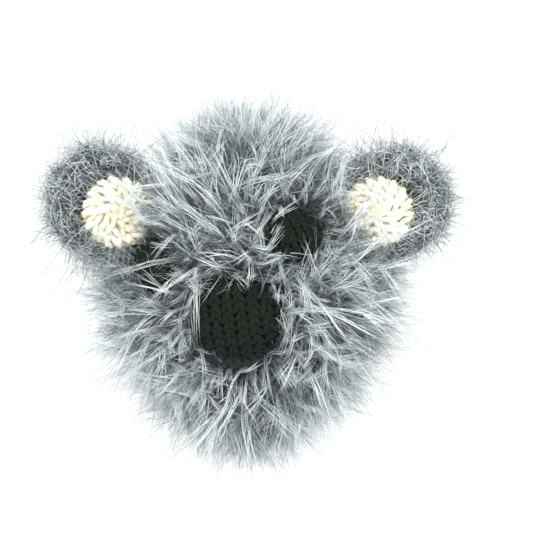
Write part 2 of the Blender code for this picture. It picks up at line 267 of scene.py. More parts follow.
def new_mesh(name, points, faces):
    mesh = bpy.data.meshes.new(name)
    mesh.from_pydata([tuple(p) for p in points], [], [tuple(f) for f in faces])
    mesh.validate()
    mesh.polygons.foreach_set("use_smooth", [True] * len(mesh.polygons))
    mesh.update()
    return link(name, mesh)


def array_mesh(name, points, quads, triangles, uv=None):
    """A mesh from arrays; uv has a row for each corner, of the quads and then of the triangles."""
    mesh = bpy.data.meshes.new(name)
    corners = np.concatenate((quads.ravel(), triangles.ravel()))
    mesh.vertices.add(len(points))
    mesh.vertices.foreach_set("co", points.astype(np.float32).ravel())
    mesh.loops.add(len(corners))
    mesh.loops.foreach_set("vertex_index", corners.astype(np.int32))
    starts = np.concatenate(
        (np.arange(len(quads)) * 4, len(quads) * 4 + np.arange(len(triangles)) * 3)
    )
    mesh.polygons.add(len(starts))
    mesh.polygons.foreach_set("loop_start", starts.astype(np.int32))
    mesh.update(calc_edges=True)
    mesh.polygons.foreach_set("use_smooth", np.ones(len(starts), bool))
    if uv is not None:
        for layer_name in ("Lash", "OFBake"):
            layer = mesh.uv_layers.new(name=layer_name)
            layer.uv.foreach_set("vector", uv.astype(np.float32).ravel())
    return link(name, mesh)


def read_points_and_normals(mesh):
    found = np.empty((2, len(mesh.vertices) * 3), np.float32)
    mesh.vertices.foreach_get("co", found[0])
    mesh.vertex_normals.foreach_get("vector", found[1])
    return found.reshape(2, -1, 3).astype(float)


def write_points(mesh, points):
    mesh.vertices.foreach_set("co", points.astype(np.float32).ravel())
    mesh.update()


def settle(obj, *modifiers):
    """Gives the object its modifiers' result as its mesh; each is (type, {setting: value})."""
    for kind, values in modifiers:
        modifier = obj.modifiers.new(kind.title(), kind)
        for key, value in values.items():
            setattr(modifier, key, value)
    graph = bpy.context.evaluated_depsgraph_get()
    mesh = bpy.data.meshes.new_from_object(obj.evaluated_get(graph))
    obj.modifiers.clear()
    obj.data = mesh
    mesh.polygons.foreach_set("use_smooth", np.ones(len(mesh.polygons), bool))
    return obj


def turn_outward(obj, loose=False):
    """Turns a closed mesh's faces outward; loose drops stray points and evens the faces first."""
    bm = bmesh.new()
    bm.from_mesh(obj.data)
    if loose:
        bmesh.ops.delete(bm, geom=[v for v in bm.verts if not v.link_faces], context="VERTS")
        bmesh.ops.recalc_face_normals(bm, faces=bm.faces)
    if bm.calc_volume(signed=True) < 0:
        bmesh.ops.reverse_faces(bm, faces=bm.faces)
    bm.to_mesh(obj.data)
    bm.free()


def dress(obj, material, body=None):
    """Gives the object its material and slot, and the body that it rides on, if it rides."""
    obj.data.materials.clear()
    obj.data.materials.append(material)
    if body:
        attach(obj, body)
    return obj


def bend_neck(obj):
    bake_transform(obj)


def bend_jaw(obj):
    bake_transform(obj)


def bend_sleeve(obj):
    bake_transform(obj)


def band(low, high, sides):
    """Quads from the rings that start at low to the rings that start at high."""
    k = np.arange(sides)
    after = (k + 1) % sides
    low, high = low[:, None], high[:, None]
    return np.stack((low + k, low + after, high + after, high + k), -1).reshape(-1, 4)


def strand_mesh(name, paths, radius, tones, rng, blunt=0.25):
    """Closed three-sided strands along paths of (count, places, 3), thick at the root."""
    count, places, _ = paths.shape
    rings = places - 1
    along = unit(paths[:, -1] - paths[:, 0])
    side = unit(np.cross(along, rng.normal(size=(count, 3))))
    other = np.cross(along, side)
    taper = 1 - (1 - blunt) * (np.arange(rings) / max(rings, 1)) ** 1.5
    size = np.asarray(radius).reshape(-1, 1) * taper[None, :] * np.ones((count, 1))
    angles = 2 * math.pi * np.arange(3) / 3
    ring = (
        np.cos(angles)[None, None, :, None] * side[:, None, None, :]
        + np.sin(angles)[None, None, :, None] * other[:, None, None, :]
    )
    body = paths[:, :rings, None, :] + ring * size[:, :, None, None]
    points = np.concatenate((body.reshape(count, rings * 3, 3), paths[:, -1:, :]), 1)
    step = rings * 3 + 1
    base = (np.arange(count) * step)[:, None, None]
    k = np.arange(3)
    after = (k + 1) % 3
    level = (np.arange(rings - 1) * 3)[:, None]
    quad = np.stack((level + k, level + after, level + 3 + after, level + 3 + k), -1).reshape(-1, 4)
    last = (rings - 1) * 3
    triangle = np.concatenate(
        (np.array([[2, 1, 0]]), np.stack((last + k, last + after, np.full(3, rings * 3)), -1))
    )
    quads = (base + quad[None]).reshape(-1, 4)
    triangles = (base + triangle[None]).reshape(-1, 3)
    height = np.repeat(np.arange(rings) / rings, 3)
    height = np.concatenate((height, [1.0]))
    column = (np.floor(np.clip(tones, 0, 0.9999) * TONES) + 0.5) / TONES
    nudge = 0.25 / TONES

    def corners(faces):
        v = 0.02 + 0.96 * height[faces]
        u = np.zeros_like(v) + nudge * np.where(np.arange(faces.shape[1]) % 3 == 0, -1, 1)
        one = np.stack((u, v), -1).reshape(1, -1, 2).repeat(count, 0)
        one[:, :, 0] += column[:, None]
        return one.reshape(-1, 2)

    uv = np.concatenate((corners(quad), corners(triangle)))
    return array_mesh(name, points.reshape(-1, 3), quads, triangles, uv)


def tube_points(path, radius, sides, flat=1.0, out=(0.31, 0.2, 0.93)):
    """Rings round a path; radius may differ by place, and flat squashes them along out."""
    path = np.asarray(path, float)
    ahead = unit(np.gradient(path, axis=0))
    side = unit(np.cross(ahead, np.array(out, float)))
    other = np.cross(side, ahead)
    size = np.broadcast_to(np.asarray(radius, float), (len(path),))
    angles = 2 * math.pi * np.arange(sides) / sides
    return (
        path[:, None]
        + side[:, None] * (np.cos(angles)[None, :, None] * size[:, None, None])
        + other[:, None] * (np.sin(angles)[None, :, None] * size[:, None, None] * flat)
    )


def tube_mesh(name, tubes):
    """One mesh of many tubes with shut ends, each an array of (places, sides, 3)."""
    points, quads, triangles, base = [], [], [], 0
    for rings in tubes:
        places, sides, _ = rings.shape
        levels = np.arange(places - 1) * sides
        quads.append(base + band(levels, levels + sides, sides))
        points += [rings.reshape(-1, 3), np.stack((rings[0].mean(0), rings[-1].mean(0)))]
        k = np.arange(sides)
        after = (k + 1) % sides
        total = places * sides
        start = np.stack((after, k, np.full(sides, total)), -1)
        end = np.stack((k + total - sides, after + total - sides, np.full(sides, total + 1)), -1)
        triangles += [base + start, base + end]
        base += total + 2
    return array_mesh(name, *(np.concatenate(part) for part in (points, quads, triangles)))


# Materials


class Nodes:
    """A small helper that adds nodes to a material and joins them."""

    def __init__(self, name, roughness, sheen=0.0, specular=0.5):
        self.material = bpy.data.materials.new(name)
        self.material.use_nodes = True
        self.tree = self.material.node_tree
        self.shader = self.tree.nodes["Principled BSDF"]
        for socket, value in (
            ("Roughness", roughness),
            ("Sheen Weight", sheen),
            ("Sheen Roughness", 0.5),
            ("Specular IOR Level", specular),
        ):
            self.shader.inputs[socket].default_value = value

    def add(self, kind, inputs=(), **values):
        node = self.tree.nodes.new(kind)
        for key, value in values.items():
            setattr(node, key, value)
        for key, value in dict(inputs).items():
            if isinstance(value, bpy.types.NodeSocket):
                self.tree.links.new(value, node.inputs[key])
            else:
                node.inputs[key].default_value = value
        return node

    def link(self, source, socket):
        self.tree.links.new(source, self.shader.inputs[socket])

    def ramp(self, source, stops):
        node = self.add("ShaderNodeValToRGB", {"Fac": source})
        elements = node.color_ramp.elements
        while len(elements) < len(stops):
            elements.new(0.5)
        for element, (place, colour) in zip(elements, stops, strict=True):
            element.position = place
            element.color = (*colour, 1)
        return node.outputs["Color"]

    def mix(self, share, first, second, blend="MIX"):
        node = self.add("ShaderNodeMix", data_type="RGBA", blend_type=blend)
        for key, value in ((0, share), (6, first), (7, second)):
            if isinstance(value, bpy.types.NodeSocket):
                self.tree.links.new(value, node.inputs[key])
            else:
                node.inputs[key].default_value = value if key == 0 else (*value, 1)
        return node.outputs[2]

    def noise(self, scale, detail):
        place = self.add("ShaderNodeTexCoord").outputs["Object"]
        return self.add(
            "ShaderNodeTexNoise", {"Vector": place, "Scale": scale, "Detail": detail}
        ).outputs["Fac"]

    def bump(self, height, distance):
        node = self.add("ShaderNodeBump", {"Height": height, "Distance": distance, "Strength": 0.6})
        self.link(node.outputs["Normal"], "Normal")


def shade(colour, factor):
    return tuple(min(1.0, c * factor) for c in colour)


def made_once(name):
    """Keeps each material after it is first made, under the name that it's made with."""

    def wrap(make):
        def given(*settings):
            own = settings[0] if name is None else name
            return bpy.data.materials.get(own) or make(*settings)

        given.__doc__ = make.__doc__
        return given

    return wrap


@made_once("lash_fibre")
def lash_material():
    """Shiny fibres: dark at the root, then each its own grey, from charcoal to silver."""
    c = colours()
    nodes = Nodes("lash_fibre", 0.42, specular=0.45)
    place = nodes.add("ShaderNodeUVMap", uv_map="Lash").outputs["UV"]
    split = nodes.add("ShaderNodeSeparateXYZ", {"Vector": place})
    tone = nodes.ramp(
        split.outputs["X"],
        [
            (0.0, c.lash_dark),
            (0.22, shade(c.lash_middle, 0.45)),
            (0.55, c.lash_middle),
            (0.80, shade(c.lash_light, 0.82)),
            (1.0, c.lash_light),
        ],
    )
    # Painted shade: each lash is darkened from its tip towards its root, where the pile around it would shade
    # it.
    root = nodes.ramp(split.outputs["Y"], [(0.0, (0.07, 0.08, 0.085)), (0.58, (1, 1, 1))])
    nodes.link(nodes.mix(1.0, tone, root, "MULTIPLY"), "Base Color")
    return nodes.material


@made_once(None)
def yarn_material(
    name, colour, scale=900.0, relief_light_and_shade=0.45, roughness=0.85, sheen=0.25, specular=0.25
):
    """Matt spun yarn: fine fibre noise, with a lighter bloom on what stands up."""
    nodes = Nodes(name, roughness, sheen, specular)
    fine = nodes.noise(scale, 4.0)
    broad = nodes.noise(scale / 9, 2.0)
    # Painted light and shade: the fine noise is also the bump's height, so what stands up is lighter and what
    # lies low is darker.
    dark, light = shade(colour, 1 - relief_light_and_shade), shade(colour, 1 + relief_light_and_shade)
    base = nodes.ramp(fine, [(0.3, dark), (0.7, light)])
    tint = nodes.ramp(broad, [(0.3, (0.84, 0.84, 0.84)), (0.7, (1, 1, 1))])
    nodes.link(nodes.mix(1.0, base, tint, "MULTIPLY"), "Base Color")
    nodes.bump(fine, 0.0003)
    return nodes.material


@made_once("cotton_weave")
def cotton_material():
    """Thin cotton, woven of fine threads that cross."""
    nodes = Nodes("cotton_weave", 0.9, sheen=0.15, specular=0.2)
    place = nodes.add("ShaderNodeTexCoord").outputs["Object"]
    threads = []
    for direction in ("X", "Y"):
        wave = nodes.add(
            "ShaderNodeTexWave",
            {"Vector": place, "Scale": 420.0, "Distortion": 0.6, "Detail": 1.0},
            bands_direction=direction,
        )
        threads.append(wave.outputs["Fac"])
    crossed = nodes.add("ShaderNodeMath", dict(enumerate(threads)), operation="MULTIPLY")
    both = crossed.outputs[0]
    grey = nodes.ramp(both, [(0.0, (0.055, 0.06, 0.062)), (0.8, (0.12, 0.13, 0.135))])
    nodes.link(grey, "Base Color")
    nodes.bump(both, 0.0002)
    return nodes.material


@made_once("cream_cotton")
def cream_material():
    """Off-white cotton that is yellower down between the stitches."""
    c = colours()
    nodes = Nodes("cream_cotton", 0.9, sheen=0.2, specular=0.2)
    fine = nodes.noise(1300.0, 4.0)
    broad = nodes.noise(130.0, 2.0)
    base = nodes.ramp(fine, [(0.25, shade(c.cream, 0.90)), (0.75, shade(c.cream, 1.08))])
    yellow = nodes.ramp(broad, [(0.38, (1.0, 0.97, 0.84)), (0.55, (1, 1, 1))])
    nodes.link(nodes.mix(1.0, base, yellow, "MULTIPLY"), "Base Color")
    nodes.bump(fine, 0.0003)
    return nodes.material


def black_material():
    return yarn_material("black_yarn", colours().black, 1100, 0.6, 1.0, 0.0, 0.12)


@made_once("mouth_felt")
def felt_material():
    c = colours()
    nodes = Nodes("mouth_felt", 0.95, sheen=0.35, specular=0.2)
    fine = nodes.noise(1400.0, 5.0)
    blotch = nodes.noise(120.0, 2.0)
    base = nodes.ramp(fine, [(0.3, shade(c.felt, 0.7)), (0.7, shade(c.felt, 1.5))])
    nodes.link(nodes.mix(blotch, base, shade(c.felt, 1.2)), "Base Color")
    nodes.bump(fine, 0.0002)
    return nodes.material


# Lashes


def scatter(obj, area, rng):
    """Random places on a mesh, one for each area in square metres, with their normals."""
    mesh = obj.data
    mesh.calc_loop_triangles()
    triangles = np.empty(len(mesh.loop_triangles) * 3, np.int32)
    mesh.loop_triangles.foreach_get("vertices", triangles)
    triangles = triangles.reshape(-1, 3)
    points, normals = read_points_and_normals(mesh)
    a, b, c = (points[triangles[:, k]] for k in range(3))
    size = np.linalg.norm(np.cross(b - a, c - a), axis=1) / 2
    count = int(size.sum() / area)
    chosen = rng.choice(len(size), count, p=size / size.sum())
    first, second = rng.random((2, count))
    flip = first + second > 1
    first[flip], second[flip] = 1 - first[flip], 1 - second[flip]
    weights = np.stack((1 - first - second, first, second), 1)
    found = (points[triangles[chosen]] * weights[:, :, None]).sum(1)
    out = unit((normals[triangles[chosen]] * weights[:, :, None]).sum(1))
    return found, out


# Each layer of the lashes, from the tangle beneath to the pale tassels on top. area: square metres
# of knitting for each tuft; count: lashes in it; length: share of the full length; stand: how much
# they stand up; stray: how far tufts differ; fan: how far one opens; curl: how it bends; wisp: bends of single
# lashes; tones: the greys it may take; size: share of the full radius.
Layer = namedtuple("Layer", "area count length stand stray fan curl wisp tones size")
LAYERS = (
    # A dark tangle, then the pile, bright tassels and flyaways
    Layer(7.0e-6, 5, (0.30, 0.75), 0.50, 0.80, 0.50, 0.60, 0.45, (0.01, 0.03, 0.08, 0.18), 0.85),
    Layer(40e-6, 6, (0.55, 1.0), 0.60, 0.50, 0.16, 0.42, 0.20, (0.22, 0.42, 0.60, 0.72), 1.0),
    Layer(15.5e-6, 6, (0.40, 1.22), 0.72, 0.80, 0.045, 0.78, 0.07, (0.70, 0.84, 0.92, 0.98), 1.3),
    Layer(60e-6, 4, (0.95, 1.4), 0.75, 0.50, 0.30, 0.50, 0.35, (0.05, 0.30, 0.60, 0.85), 0.72),
)


def tufts(layer, roots, normals, lean, length, rng, droop=0.10, segments=5):
    """Paths, tones and radii of one layer; lean is the way that each tuft is combed."""
    n, m = len(roots), layer.count
    way = unit(normals * layer.stand + lean + rng.normal(0, layer.stray, (n, 3)))
    rise = (way * normals).sum(1, keepdims=True)
    way = unit(np.where(rise < 0.22, way + normals * (0.32 - rise), way))
    bend = rng.normal(0, layer.curl, (n, 3)) + np.array((0, 0, -droop))
    reach = length * rng.uniform(*layer.length, n)
    ways = unit(way[:, None] + rng.normal(0, layer.fan, (n, m, 3)))
    bends = bend[:, None] + rng.normal(0, layer.wisp, (n, m, 3))
    reaches = (reach[:, None] * rng.uniform(0.68, 1.0, (n, m)))[:, :, None, None]
    starts = roots[:, None] + rng.normal(0, 0.00036, (n, m, 3)) - normals[:, None] * 0.0006
    steps = np.linspace(0, 1, segments)[None, None, :, None]
    paths = starts[:, :, None] + reaches * (
        ways[:, :, None] * steps + bends[:, :, None] * steps**2 * 0.6
    )
    curl = rng.normal(0, 0.05 * layer.wisp / 0.14, (n, m, 1, 3)) * np.sin(steps * math.pi * 1.4)
    paths = paths + reaches * curl
    tone = rng.choice(layer.tones, n)[:, None] + rng.normal(0, 0.07, (n, m))
    size = lash_settings().radius * layer.size * rng.uniform(0.7, 1.2, (n, m))
    paths = within_room(paths.reshape(-1, segments, 3), rng)
    return paths, np.clip(tone, 0.01, 0.99).ravel(), size.ravel()


def within_room(paths, rng):
    """Shortens the lashes that would reach too far from the puppet, each by its own share."""
    room = lash_settings().room
    low = np.array(CAD_BOX[0]) - room
    high = np.array(CAD_BOX[1]) + room
    high[1] = SLEEVE_HIGH.y + 0.010
    root = paths[:, :1]
    spread = paths - root
    share = np.ones(len(paths))
    for k in range(3):
        over = np.maximum((spread[:, :, k].max(1)) / np.maximum(high[k] - root[:, 0, k], 1e-5), 0)
        under = np.maximum((-spread[:, :, k].min(1)) / np.maximum(root[:, 0, k] - low[k], 1e-5), 0)
        share = np.maximum(share, np.maximum(over, under))
    cut = np.where(share > 1, rng.uniform(0.75, 0.99, len(paths)) / share, 1.0)
    return root + spread * cut[:, None, None]


def lash_pieces(name, grown, chosen_ones, rng, place):
    """Makes strands in pieces of no more than MOST_STRANDS; place rides or blends each."""
    paths, tones, size = (rows[chosen_ones] for rows in grown)
    clear = ~over_patch(paths[:, -1], "nose_cover", -0.005)
    paths, tones, size = paths[clear], tones[clear], size[clear]
    order = np.argsort(np.arctan2(paths[:, 0, 0], paths[:, 0, 2] - head_middle().z), kind="stable")
    parts = max(1, math.ceil(len(order) / MOST_STRANDS))
    for i, chosen in enumerate(np.array_split(order, parts)):
        obj = strand_mesh(f"{name}_{i + 1}", paths[chosen], size[chosen], tones[chosen], rng)
        dress(obj, lash_material())
        place(obj)


def face_place(name):
    """The middle of the nose or of an eye, and its half sizes, from the frame's own piece."""
    low, high = box_of(name)
    return (low + high) / 2, (high - low) / 2


def comb(points, normals):
    """The way the lashes lie: away from the bridge of the nose, over the cheeks, crown and chin."""
    nose, _ = face_place("nose_cover")
    bridge = np.array(nose) + np.array((0.004, -0.010, 0.020))
    away = points - bridge
    away[:, 1] = np.clip(away[:, 1], 0, 0.03)
    away = unit(away)
    away -= normals * (away * normals).sum(1, keepdims=True)
    return unit(away)


def over_patch(points, name, room, shift=(0, 0)):
    """True for each point over a sewn-on patch of the face, or over that patch shifted."""
    middle, half = face_place(name)
    middle = middle + Vector((shift[0], 0, shift[1]))
    across = (points[:, 0] - middle.x) / (half.x + room)
    up = (points[:, 2] - middle.z) / (half.z + room)
    return (across**2 + up**2 < 1) & (points[:, 1] < head_middle().y)


# Operators, one for each piece or group of like pieces


class MakeKnitting(bpy.types.Operator):
    """Knit the head, jaw, neck and sleeve as one cloth, then part it at the mouth and the folds"""

    bl_idname = "puppet.make_knitting"
    bl_label = "Knitting"

    def execute(self, context):
        solid = self.solid()
        cuts = (
            ((0, 0, HINGE.z), (0, 0, 1)),
            ((0, JAW_BACK, 0), (0, 1, 0)),
            ((0, NECK_MIDDLE, 0), (0, 1, 0)),
            ((0, SLEEVE_END, 0), (0, 1, 0)),
        )
        bm = bmesh.new()
        bm.from_mesh(solid.data)
        for place, normal in cuts:
            geometry = bm.verts[:] + bm.edges[:] + bm.faces[:]
            bmesh.ops.bisect_plane(bm, geom=geometry, plane_co=place, plane_no=normal)
        layer = bm.faces.layers.int.new("part")
        for face in bm.faces:
            middle = face.calc_center_median()
            face[layer] = 0
            if middle.y > SLEEVE_END:
                face[layer] = 3
            elif middle.y > NECK_MIDDLE:
                face[layer] = 2
            elif middle.z < HINGE.z and middle.y < JAW_BACK:
                face[layer] = 1
        for number, name in enumerate(("head_cloth", "jaw_cloth", "sleeve_cloth")):
            part = bm.copy()
            part_layer = part.faces.layers.int["part"]
            others = [face for face in part.faces if face[part_layer] != number]
            bmesh.ops.delete(part, geom=others, context="FACES")
            mesh = bpy.data.meshes.new(name)
            part.to_mesh(mesh)
            part.free()
            self.finish(link(name, mesh))
        bm.free()
        bpy.data.objects.remove(solid)
        return {"FINISHED"}

    def solid(self):
        """The egg of the head and the oval of the arm, grown into one smooth closed surface."""
        s = sizes()
        bm = bmesh.new()
        bmesh.ops.create_icosphere(bm, subdivisions=6, radius=1)
        directions = np.array([vertex.co for vertex in bm.verts])
        for vertex, place in zip(bm.verts, from_face(head_points(directions)), strict=True):
            vertex.co = place
        width = SLEEVE_HIGH.x - s.arm_pile
        height = SLEEVE_HIGH.z - s.arm_pile
        middle = head_middle()
        sides = 72
        rings = []
        for y in (middle.y + 0.01, SLEEVE_HIGH.y + 0.004):
            ring = []
            for i in range(sides):
                angle = 2 * math.pi * i / sides
                x = width * math.copysign(abs(math.cos(angle)) ** OVAL, math.cos(angle))
                z = height * math.copysign(abs(math.sin(angle)) ** OVAL, math.sin(angle))
                ring.append(bm.verts.new((x, y, z)))
            rings.append(ring)
        for i in range(sides):
            j = (i + 1) % sides
            bm.faces.new((rings[0][i], rings[0][j], rings[1][j], rings[1][i]))
        bm.faces.new(reversed(rings[0]))
        bm.faces.new(rings[1])
        bmesh.ops.recalc_face_normals(bm, faces=bm.faces)
        mesh = bpy.data.meshes.new("cloth_solid")
        bm.to_mesh(mesh)
        bm.free()
        obj = link("cloth_solid", mesh)
        settle(obj, ("REMESH", {"mode": "VOXEL", "voxel_size": 0.0022}))
        bm = bmesh.new()
        bm.from_mesh(obj.data)
        near = middle.y + 0.020, middle.y + 0.085
        joint = [v for v in bm.verts if near[0] < v.co.y < near[1]]
        axes = {"use_axis_x": True, "use_axis_y": True, "use_axis_z": True}
        for verts, rounds in ((joint, 40), (bm.verts, 4)):
            for _ in range(rounds):
                bmesh.ops.smooth_vert(bm, verts=verts, factor=0.5, **axes)
        bm.to_mesh(obj.data)
        bm.free()
        return obj

    def finish(self, obj):
        """Rows of stitches stand up on the cloth, which then gets its thickness."""
        s = sizes()
        settle(obj, ("SUBSURF", {"levels": 1, "render_levels": 1}))
        points, normals = read_points_and_normals(obj.data)
        middle = head_middle()
        low = np.clip((points[:, 1] - middle.y) / 0.08, 0, 1)
        angle = np.arctan2(points[:, 0], points[:, 2] - middle.z * (1 - low))
        columns = 56
        across = angle / (2 * math.pi) * columns
        along = points[:, 1] / (s.stitch * 0.72)
        inside = across - np.floor(across)
        leg = np.abs(inside - 0.5) * 2
        relief = 0.5 + 0.5 * np.cos(2 * math.pi * (along - leg * 0.8))
        relief = relief * np.sin(math.pi * np.clip(leg * 0.9 + 0.1, 0, 1)) ** 0.6
        write_points(obj.data, points + normals * ((relief - 0.6) * 0.0011)[:, None])
        settle(obj, ("SOLIDIFY", {"thickness": s.cloth, "offset": -1.0}))
        dress(obj, yarn_material("ground_yarn", colours().ground))
        if obj.name == "head_cloth":
            bend_neck(obj)
            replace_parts(obj, "head_knit", "neck_knit")
        elif obj.name == "jaw_cloth":
            bend_jaw(obj)
            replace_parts(obj, "jaw_knit")
        else:
            bend_sleeve(obj)
            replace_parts(obj, "sleeve_knit")


class MakeLashes(bpy.types.Operator):
    """Cover the knitting with long lashes that are combed away from the nose"""

    bl_idname = "puppet.make_lashes"
    bl_label = "Lashes"

    def execute(self, context):
        rng = np.random.default_rng(lash_settings().seed)
        for grow in (self.head, self.jaw, self.sleeve):
            grow(rng)
        return {"FINISHED"}

    def outer(self, name):
        """The outside of a cloth piece alone, to grow lashes on."""
        source = bpy.data.objects[name]
        copy = source.copy()
        copy.data = source.data.copy()
        bm = bmesh.new()
        bm.from_mesh(copy.data)
        middle = head_middle()
        inner = []
        for face in bm.faces:
            place = face.calc_center_median()
            axis = middle if place.y < middle.y + 0.05 else Vector((0, place.y, 0))
            if face.normal.dot(place - axis) < 0:
                inner.append(face)
        bmesh.ops.delete(bm, geom=inner, context="FACES")
        bm.to_mesh(copy.data)
        bm.free()
        return copy

    def grow(self, name, rng, settle_tuft, folded, bend, droop=0.10):
        """Grows every layer on one cloth. settle_tuft gives the lean and length at each root, and
        which roots are left out; folded is the y behind which lashes bend with the cloth."""
        s = lash_settings()
        source = self.outer(f"{name}_cloth")
        layers = []
        for layer in LAYERS:
            roots, normals = scatter(source, layer.area / s.thickness, rng)
            lean, length, bare = settle_tuft(roots, normals)
            roots, normals, lean, length = (rows[~bare] for rows in (roots, normals, lean, length))
            layers.append(tufts(layer, roots, normals, lean, length, rng, droop))
        bpy.data.objects.remove(source)
        grown = [np.concatenate([layer[k] for layer in layers]) for k in range(3)]
        soft = grown[0][:, 0, 1] > folded
        if (~soft).any():
            lash_pieces(f"{name}_lashes", grown, ~soft, rng, lambda obj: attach(obj, name))
        lash_pieces(f"{name}_fold_lashes", grown, soft, rng, bend)

    def head(self, rng):
        s = lash_settings()

        def settle_tuft(roots, normals):
            bare = over_patch(roots, "nose_cover", -0.0015)
            for side in ("left_eye", "right_eye"):
                bare |= over_patch(roots, side, -0.0005)
            bare |= over_patch(roots, "left_eye", -0.002, (0.006, -0.003))
            length = np.where(roots[:, 1] > NOD.y - 0.055, s.arm_length, s.length)
            length *= 1 - 0.42 * self.nearness(roots)
            length *= 1 + 0.22 * np.clip((roots[:, 2] - NOD.z - 0.09) / 0.03, 0, 1)
            lean = comb(roots, normals) * 0.50
            for name, reach, push in (
                ("left_eye", 0.012, 0.9),
                ("right_eye", 0.014, 1.3),
                ("nose_cover", 0.010, 0.35),
            ):
                lean += self.away_from(name, roots, reach) * push
            return lean, length, bare

        self.grow("head", rng, settle_tuft, NOD.y - 0.026, bend_neck)

    def away_from(self, name, roots, reach):
        """Pushes the lashes next to a patch off it, so that only stray ones cross it."""
        middle, half = face_place(name)
        off = roots - np.array(middle)
        off[:, 1] = 0
        size = np.linalg.norm(off, axis=1, keepdims=True)
        room = np.clip(1 - (size - max(half.x, half.z)) / reach, 0, 1)
        front = roots[:, 1:2] < head_middle().y
        return off / np.maximum(size, 1e-6) * room * front

    def nearness(self, roots):
        """How close each root is to the nose or an eye, from 0 to 1: lashes there are shorter."""
        near = np.zeros(len(roots))
        for name, room in (("nose_cover", 0.014), ("left_eye", 0.006), ("right_eye", 0.010)):
            middle, half = face_place(name)
            across = np.maximum(np.abs(roots[:, 0] - middle.x) - half.x, 0)
            up = np.maximum(np.abs(roots[:, 2] - middle.z) - half.z, 0)
            front = roots[:, 1] < head_middle().y
            near = np.maximum(near, np.clip(1 - np.hypot(across, up) / room, 0, 1) * front)
        return near

    def jaw(self, rng):
        s = lash_settings()

        def settle_tuft(roots, normals):
            lean = comb(roots, normals) * 0.45 + np.array((0, 0, -0.20))
            length = np.where(roots[:, 1] > HINGE.y - 0.02, s.arm_length, s.chin_length)
            length *= 1 - 0.35 * np.clip(np.abs(roots[:, 0]) / 0.045, 0, 1)
            return lean, length, np.zeros(len(roots), bool)

        self.grow("jaw", rng, settle_tuft, HINGE.y - 0.012, bend_jaw, 0.20)

    def sleeve(self, rng):
        s = lash_settings()

        def settle_tuft(roots, normals):
            lean = np.tile(np.array((0, 0.5, -0.12)), (len(roots), 1))
            sparse = rng.random(len(roots)) < 0.35
            return lean, np.full(len(roots), s.arm_length), sparse

        self.grow("sleeve", rng, settle_tuft, NECK_MIDDLE - 1, bend_sleeve)


def under_patch(x, y):
    """How far the head falls away below the flat of a patch."""
    return -(x * x) / (2 * 0.062) - (y * y) / (2 * 0.075)


def knitted_patch(name, middle, half_width, half_height, height, stitch, rng):
    """A padded oval of stocking stitch: real V-shaped stitches in columns over a domed ground.

    middle is the matrix of the patch; height(a, b) is its height at a share of each half size."""
    columns = max(3, round(2 * half_width / stitch))
    rows = max(3, round(2 * half_height / (stitch * 0.74)))
    wide = 2 * half_width / columns
    tall = 2 * half_height / rows
    tubes = []

    def lift(x, y, extra):
        z = height(x / half_width, y / half_height) + under_patch(x, y) + extra
        return middle @ Vector((x, y, z))

    for i in range(columns):
        for j in range(-1, rows):
            cx = -half_width + (i + 0.5) * wide
            cy = -half_height + (j + 0.5) * tall
            if (cx / half_width) ** 2 + ((cy + tall / 2) / half_height) ** 2 > 0.93:
                continue
            for sign in (-1, 1):
                path = []
                jitter = rng.normal(0, 0.00020, 2)
                tilt = rng.normal(0, 0.09)
                swell = rng.uniform(0.88, 1.14)
                for t in np.linspace(0, 1, 7):
                    spread = 0.06 + 0.42 * math.sin(t * math.pi / 2) ** 1.2
                    x = cx + sign * wide * spread + jitter[0]
                    y = cy + tall * (1.50 * t - 0.12) + jitter[1]
                    x += tilt * (y - cy)
                    rise = 0.0012 * math.sin(math.pi * min(1, t * 1.05)) * swell
                    path.append(lift(x, y, rise))
                plump = 0.55 + 0.45 * np.sin(np.linspace(0.25, math.pi - 0.35, 7))
                size = wide * 0.27 * swell * plump
                out = middle.to_3x3() @ Vector((0, 0, 1))
                tubes.append(tube_points(path, size, 8, out=tuple(out), flat=0.9))
    dress(tube_mesh(name, tubes), black_material(), "head")


def whip_stitches(name, middle, half_width, half_height, count, rng):
    """Short slanted stitches of the thread that sews a patch to the knitting."""
    tubes = []
    for i in range(count):
        angle = 2 * math.pi * (i + rng.uniform(-0.12, 0.12)) / count
        path = []
        for t in np.linspace(0, 1, 7):
            share = 0.93 + 0.16 * t
            turn = angle + 0.10 * (t - 0.5)
            x, y = share * half_width * math.cos(turn), share * half_height * math.sin(turn)
            z = under_patch(x, y) + 0.0014 * math.sin(math.pi * t) + 0.0004
            path.append(middle @ Vector((x, y, z)))
        tubes.append(tube_points(path, 0.00042, 6))
    return dress(tube_mesh(name, tubes), black_material(), "head")


def shut_round(name, rings, sides, place):
    """A closed round solid of two skins; place(top, share, angle) gives each of its points."""
    points = [
        place(top, (i + 1) / rings, 2 * math.pi * k / sides)
        for top in (True, False)
        for i in range(rings)
        for k in range(sides)
    ]
    points += [place(True, 0, 0), place(False, 0, 0)]
    faces = []
    total = rings * sides
    for base, hub, flip in ((0, 2 * total, False), (total, 2 * total + 1, True)):
        for k in range(sides):
            j = (k + 1) % sides
            face = (base + k, base + j, hub)
            faces.append(tuple(reversed(face)) if flip else face)
            for i in range(rings - 1):
                low, high = base + i * sides, base + (i + 1) * sides
                quad = (low + k, high + k, high + j, low + j)
                faces.append(tuple(reversed(quad)) if flip else quad)
    edge, under = (rings - 1) * sides, total + (rings - 1) * sides
    for k in range(sides):
        j = (k + 1) % sides
        faces.append((edge + k, under + k, under + j, edge + j))
    return new_mesh(name, points, faces)


